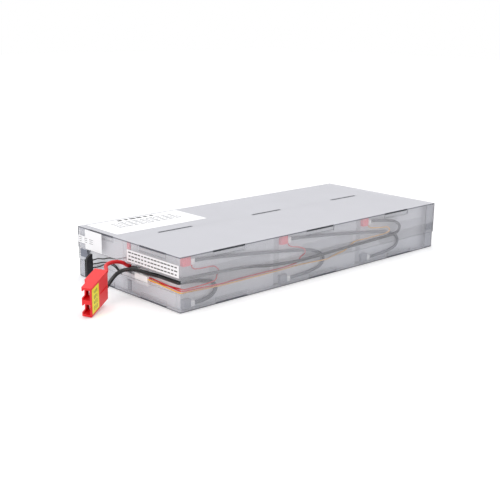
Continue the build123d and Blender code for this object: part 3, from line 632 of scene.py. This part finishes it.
# For each sheet: the height of its windows, how far out its long and end walls stand, and the
# long windows' places along X with the colour of their painted shadow.
windows = {
    "cover": {"z": 0.0650, "wall_y": 0.1027, "wall_x": 0.2398, "places": (-0.166, -0.008, 0.150),
              "foam": shadow_strip_dark},
    "tray": {"z": 0.0014, "wall_y": 0.1022, "wall_x": 0.2393, "places": (-0.1609, 0.0, 0.1609),
             "foam": shadow_strip_grey}}
for sign, side in ((-1, "front"), (1, "rear")):
    for sheet, row in windows.items():
        for i, x in enumerate(row["places"]):
            plate(f"seal_{sheet}_{side}_{i}", on_plane((x, sign * row["wall_y"], row["z"]), *SIDES[side]),
                  shadow_strip_long, shadow_strip_tall, shadow_strip_corner, row["foam"], shadow_strip_thick)
for sign, side in ((-1, "left"), (1, "right")):
    for i, y in enumerate(end_windows):
        for sheet, row in windows.items():
            plate(f"seal_{sheet}_{side}_{i}", on_plane((sign * row["wall_x"], y, row["z"]), *SIDES[side]),
                  shadow_strip_long, shadow_strip_tall, shadow_strip_corner, shadow_strip_grey, shadow_strip_thick)

# %% Pale pads at the right end and cards over the gaps, as painted light
pad_x, pad_y, pad_z = 0.2350, 0.0895, 0.0335
for sign, side in ((-1, "front"), (1, "rear")):
    plate(f"end_light_pad_{side}", on_plane((pad_x, sign * pad_y, pad_z), *SIDES["right"]),
          width=0.0100, height=0.0590, radius=0.0015, material=pale_fill, thick=0.0040)
card_z, card_tall, card_overlap = 0.0332, 0.060, 0.002
for near, far in (("left", "middle"), ("middle", "right")):
    low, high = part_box("lid_front_" + near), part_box("lid_front_" + far)
    gap = high[0][0] - low[1][0]
    middle = (low[1][0] + high[0][0]) / 2
    plate(f"gap_light_card_{near}_{far}", on_plane((middle, low[0][1], card_z), *SIDES["front"]),
          gap + card_overlap, card_tall, radius=0.0008, material=pale_fill, thick=0.0004)
    print("gap", round(gap * 1000, 1), "mm at y", round(low[0][1] * 1000, 1))

# %% [markdown]
# ## Plated metal
# The tabs on the batteries are tinned brass and the contacts of the power connector are silver
# plated. A metal has its colour in its reflection, so metallic is one, and the IOR stays at its
# default. Fine streaks from rolling move the roughness: a noise stretched along X draws them.

# %% The plated material
STREAKS_PER_M = (120.0, 900.0, 900.0)      # about 8 mm long and 1.1 mm wide, coarse enough to show
METAL_SMOOTHER, METAL_ROUGHER = 0.08, 0.1  # how far the streaks move the roughness down and up


def plated(name, colour, rough):
    """Plated metal strip with fine rolling streaks."""
    material, tree, output = new_material(name)
    place = add_node(tree, "ShaderNodeTexCoord")
    stretch = add_node(tree, "ShaderNodeMapping", {
        "Vector": place.outputs["Object"], "Scale": STREAKS_PER_M})
    streak = add_node(tree, "ShaderNodeTexNoise", {
        "Vector": stretch.outputs["Vector"], "Scale": 1.0, "Detail": 3.0})
    spread = add_node(tree, "ShaderNodeMapRange", {
        "Value": streak.outputs["Fac"], "From Min": NOISE_LOW, "From Max": NOISE_HIGH,
        "To Min": rough - METAL_SMOOTHER, "To Max": rough + METAL_ROUGHER})
    shader = add_node(tree, "ShaderNodeBsdfPrincipled", {
        "Roughness": spread.outputs["Result"], "Base Color": hex_colour(colour), "Metallic": 1.0})
    tree.links.new(shader.outputs["BSDF"], output.inputs["Surface"])
    return material


print("streaks of", [round(1000 / count, 1) for count in STREAKS_PER_M], "mm")

# %% Metals and the wires inside the covers
# Brass strip, tinned: pale silver with faint rolling streaks.
tin = plated("tinned brass", "d2d0cc", 0.35)
# Copper strip, silver plated: bright and slightly warm.
silver = plated("silver-plated copper", "dedbd4", 0.28)
paint(tin, "tabs_front", "tabs_rear")
paint(silver, "power_connector_contacts")
paint(veiled_black, "jumper_front_left", "jumper_front_right", "jumper_rear_left", "jumper_rear_right")
paint(black_wire, "row_link", "main_lead_black_inner")
paint(red_wire, "main_lead_red_inner")
paint(sense_red, "sense_wire_red_first", "sense_wire_red_second")
paint(sense_yellow, "sense_wire_yellow")

# %% [markdown]
# ## Labels
# The stickers are white paper or yellow vinyl, a tenth of a millimetre thick, so each is a thin
# plate laid on the face that carries it. Rows of small plain bars give them some ink.

# %% Sticker materials
# Coated paper, printed and die-cut: clean white, barely glossy.
paper = moulded("label paper, white", "f6f6f8", 0.55, grains_per_mm=1.4, depth=0.00002, shade=0.015)
# Vinyl film, printed: bright yellow with a soft sheen.
vinyl = moulded("label vinyl, yellow", "f4e818", 0.4, grains_per_mm=1.0, depth=0.00002, shade=0.03)
# Printing ink, a few microns thick: dark grey and matt.
print_ink = moulded("printing ink, dark grey", "3a3b40", 0.6, grains_per_mm=1.0, depth=0.00001)
# Printing ink in finer bars: reads as mid grey from a distance.
print_pale = moulded("printing ink, grey", "6e7076", 0.6, grains_per_mm=1.0, depth=0.00001)

# %% [markdown]
# ### Rows of bars by Geometry Nodes
# The bars repeat in rows, so nodes lay them out from a few named numbers. A grid of points gives
# the rows, and a small box stands on each point. A seeded random value sets its length, so that
# the rows look uneven and come out the same each time.

# %% Geometry Nodes tree for the bars
SHORTEST, LONGEST = 0.55, 1.05  # a bar's length as a share of the room between two points
BAR_THICK = 0.00003


def bar_tree():
    """Rows of short bars on a flat grid."""
    tree = bpy.data.node_groups.new("printed rows", "GeometryNodeTree")
    face = tree.interface
    for title, kind, value in (("Width", "NodeSocketFloat", 0.05), ("Height", "NodeSocketFloat", 0.01),
                               ("Bars", "NodeSocketInt", 6), ("Rows", "NodeSocketInt", 3),
                               ("Bar height", "NodeSocketFloat", 0.001), ("Seed", "NodeSocketInt", 1)):
        face.new_socket(title, in_out="INPUT", socket_type=kind).default_value = value
    face.new_socket("Ink", in_out="INPUT", socket_type="NodeSocketMaterial")
    face.new_socket("Geometry", in_out="OUTPUT", socket_type="NodeSocketGeometry")
    given = add_node(tree, "NodeGroupInput").outputs
    grid = add_node(tree, "GeometryNodeMeshGrid", {
        "Size X": given["Width"], "Size Y": given["Height"],
        "Vertices X": given["Bars"], "Vertices Y": given["Rows"]})
    pitch = add_node(tree, "ShaderNodeMath", {0: given["Width"], 1: given["Bars"]}, {"operation": "DIVIDE"})
    share = add_node(tree, "FunctionNodeRandomValue", {2: SHORTEST, 3: LONGEST, "Seed": given["Seed"]},
                     {"data_type": "FLOAT"})
    reach = add_node(tree, "ShaderNodeMath", {0: pitch.outputs[0], 1: share.outputs[1]},
                     {"operation": "MULTIPLY"})
    size = add_node(tree, "ShaderNodeCombineXYZ", {
        "X": reach.outputs[0], "Y": given["Bar height"], "Z": BAR_THICK})
    bar = add_node(tree, "GeometryNodeMeshCube", {"Size": (1.0, 1.0, 1.0)})
    points = add_node(tree, "GeometryNodeInstanceOnPoints", {
        "Points": grid.outputs["Mesh"], "Instance": bar.outputs["Mesh"], "Scale": size.outputs["Vector"]})
    real = add_node(tree, "GeometryNodeRealizeInstances", {"Geometry": points.outputs["Instances"]})
    inked = add_node(tree, "GeometryNodeSetMaterial", {
        "Geometry": real.outputs["Geometry"], "Material": given["Ink"]})
    add_node(tree, "NodeGroupOutput", {"Geometry": inked.outputs["Geometry"]})
    return tree


printed_rows = bar_tree()
print("nodes in the tree", len(printed_rows.nodes))

# %% Grow a field of bars and keep it as a mesh
BAR_INPUTS = ("Width", "Height", "Bars", "Rows", "Bar height", "Seed", "Ink")


def grown(name, tree, matrix, values):
    """Runs a Geometry Nodes tree once and keeps its result as a plain mesh in its place."""
    piece = bpy.data.objects.new(name, bpy.data.meshes.new(name + "_seed"))
    bpy.context.scene.collection.objects.link(piece)
    modifier = piece.modifiers.new("nodes", "NODES")
    modifier.node_group = tree
    named = dict(zip(BAR_INPUTS, values))
    for item in tree.interface.items_tree:
        if item.in_out == "INPUT":
            modifier[item.identifier] = named[item.name]
    bpy.context.view_layer.update()
    seen = piece.evaluated_get(bpy.context.evaluated_depsgraph_get())
    result = bpy.data.meshes.new_from_object(seen)
    piece.modifiers.remove(modifier)
    piece.data = result
    result.name = name
    result.transform(matrix)
    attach(piece, "root")
    print(name, "faces", len(result.polygons), "in", named["Ink"].name)


print("what a field of bars is given:", BAR_INPUTS)

# %% [markdown]
# ### Put the stickers in place
# One sticker lies on the top panel, two overlap at the back of the left end, one long strip runs
# along the left end's upper edge, and a yellow one is on the broad face of the power connector.

# %% Stickers on the covers
PAPER_THICK, GLUE, OVER_PAPER = 0.00012, 0.00002, 0.00018  # the last lifts a sticker over another
left_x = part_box("upper_cover")[0][0]
top_plane = on_plane((-0.158, 0.0652, top_z + GLUE), *SIDES["top"])
end_far = on_plane((left_x - GLUE, 0.0685, 0.0522), *SIDES["left"])
end_small = on_plane((left_x - OVER_PAPER, 0.0851, 0.0507), *SIDES["left"])
end_strip = on_plane((left_x - GLUE, -0.0526, 0.0492), *SIDES["left"])
for name, plane, width, height, radius in (
        ("label_top", top_plane, 0.146, 0.0675, 0.002),
        ("label_end_tall", end_far, 0.037, 0.0254, 0.001),
        ("label_end_small", end_small, 0.034, 0.0095, 0.001),
        ("label_end_strip", end_strip, 0.0994, 0.0148, 0.001)):
    plate(name, plane, width, height, radius, paper, PAPER_THICK)
print("the left end's stickers lie at x", round(left_x * 1000, 1), "mm")

# %% Plain bars on the stickers
INK_LIFT = Matrix.Translation((0, 0, 0.00016))  # from a sticker's back to the middle of the ink
# Each field's shift on its sticker, and its values in the order of BAR_INPUTS.
for name, plane, shift, values in (
        ("bars_end_strip", end_strip, (0, 0, 0), (0.088, 0.0088, 15, 3, 0.0015, 4, print_ink)),
        ("bars_end_small", end_small, (0, 0, 0), (0.024, 0.0050, 3, 3, 0.0006, 2, print_pale)),
        ("bars_top_title", top_plane, (0, 0.0275, 0), (0.052, 0.0001, 6, 1, 0.0055, 9, print_ink)),
        ("bars_top_rows", top_plane, (0.002, 0.006, 0), (0.092, 0.020, 9, 4, 0.0020, 7, print_pale))):
    grown(name, printed_rows, plane @ INK_LIFT @ Matrix.Translation(shift), values)

# %% [markdown]
# ### The connector's sticker
# The power connector lies tilted, so its sticker is placed in the connector's own directions: along
# it, up across its two poles, and out of its broad face.

# %% Sticker on the power connector
plug_corner = Vector((-0.3236, -0.0493, 0.0003))
plug_along = Vector((0.83218, 0.52479, 0.17909)).normalized()
plug_up = Vector((-0.1073, -0.16447, 0.98053)).normalized()
plug_out = plug_along.cross(plug_up)
half_long, half_high = 0.0117, 0.01825  # from the corner to the middle of the broad face
face_middle = plug_corner + plug_along * half_long + plug_up * half_high
vinyl_plane = on_plane(face_middle + plug_out * GLUE, plug_along, plug_up)
plate("label_connector", vinyl_plane, width=0.0185, height=0.0310, radius=0.0006, material=vinyl,
      thick=PAPER_THICK)
quarter_turn = Matrix.Rotation(math.radians(90), 4, "Z")
grown("bars_connector", printed_rows, vinyl_plane @ INK_LIFT @ quarter_turn,
      (0.020, 0.0068, 4, 3, 0.0011, 3, print_ink))

# %% [markdown]
# ## Light and floor
# A large soft lamp above the pack, a weaker one on the left and a pale sky give the even light of
# a product picture. The floor is white paper. To rays that come from the camera, from a gloss or
# through glass, the floor also glows a little, more so far away, and the sky is pure white. So the
# floor ends in white while the shadow on it stays, and gloss and metal mirror the same white.

# %% Two soft lamps
def lamp(name, place, target, size, power):
    """A square soft light that looks at a point, its power in watts."""
    data = bpy.data.lights.new(name, "AREA")
    data.size = size
    data.energy = power
    piece = bpy.data.objects.new(name, data)
    bpy.context.scene.collection.objects.link(piece)
    piece.location = place
    piece.rotation_euler = (Vector(target) - Vector(place)).to_track_quat("-Z", "Y").to_euler()
    print(name, power, "W from", round((Vector(target) - Vector(place)).length, 2), "m away")


lamp("lamp_above", place=(0.1, 0.1, 1.7), target=(0, 0, 0), size=1.5, power=15.0)
lamp("lamp_left", place=(-1.9, -0.4, 0.7), target=(0, 0, 0.03), size=1.0, power=9.0)

# %% Rays that see the surroundings
WHITE, BLACK = hex_colour("ffffff"), hex_colour("000000")


def seeing_rays(tree):
    """One for rays that see the surroundings: from the camera, mirrored, or sent through glass."""
    path = add_node(tree, "ShaderNodeLightPath").outputs
    indirect = add_node(tree, "ShaderNodeMath", {
        0: path["Is Glossy Ray"], 1: path["Is Transmission Ray"]}, {"operation": "MAXIMUM"})
    seeing = add_node(tree, "ShaderNodeMath", {
        0: path["Is Camera Ray"], 1: indirect.outputs[0]}, {"operation": "MAXIMUM"})
    return seeing.outputs[0]


print("white is", WHITE[:3], "and black", BLACK[:3])

# %% The floor
floor_reach, floor_z = 6.0, -0.0002
near_glow, far_glow = 0.24, 0.55    # the glow's strength by the pack and far from it
fade_from, fade_to = 0.5, 1.6       # distances between which it grows
corners = [(x * floor_reach, y * floor_reach, floor_z) for x, y in ((-1, -1), (1, -1), (1, 1), (-1, 1))]
floor_data = bpy.data.meshes.new("floor")
floor_data.from_pydata(corners, [], [(0, 1, 2, 3)])
floor = bpy.data.objects.new("floor", floor_data)
bpy.context.scene.collection.objects.link(floor)
# Matt white paper on a roll: no gloss, so the pack has a shadow on it but no mirror image.
floor_paper, tree, output = new_material("white paper floor")
matte = add_node(tree, "ShaderNodeBsdfDiffuse", {"Color": hex_colour("eaeaeb")})
place = add_node(tree, "ShaderNodeTexCoord")
away = add_node(tree, "ShaderNodeVectorMath", {"Vector": place.outputs["Object"]}, {"operation": "LENGTH"})
fade = add_node(tree, "ShaderNodeMapRange", {
    "Value": away.outputs["Value"], "From Min": fade_from, "From Max": fade_to,
    "To Min": near_glow, "To Max": far_glow})
glow = add_node(tree, "ShaderNodeEmission", {"Strength": fade.outputs["Result"], "Color": WHITE})
dark = add_node(tree, "ShaderNodeEmission", {"Strength": 0.0, "Color": BLACK})
seen = add_node(tree, "ShaderNodeMixShader", {
    "Fac": seeing_rays(tree), 1: dark.outputs["Emission"], 2: glow.outputs["Emission"]})
both = add_node(tree, "ShaderNodeAddShader", {0: matte.outputs["BSDF"], 1: seen.outputs["Shader"]})
tree.links.new(both.outputs["Shader"], output.inputs["Surface"])
floor_data.materials.append(floor_paper)
print("floor", 2 * floor_reach, "m wide")

# %% The sky
sky_level, white_level = 0.72, 1.0
world = bpy.data.worlds.new("studio")
bpy.context.scene.world = world
world.use_nodes = True
sky = world.node_tree
sky.nodes.clear()
soft = add_node(sky, "ShaderNodeBackground", {"Color": WHITE, "Strength": sky_level})
white = add_node(sky, "ShaderNodeBackground", {"Color": WHITE, "Strength": white_level})
choice = add_node(sky, "ShaderNodeMixShader", {
    "Fac": seeing_rays(sky), 1: soft.outputs["Background"], 2: white.outputs["Background"]})
add_node(sky, "ShaderNodeOutputWorld", {"Surface": choice.outputs["Shader"]})
bpy.context.scene.view_settings.view_transform = "Standard"
print("the sky lights the pack at", sky_level)
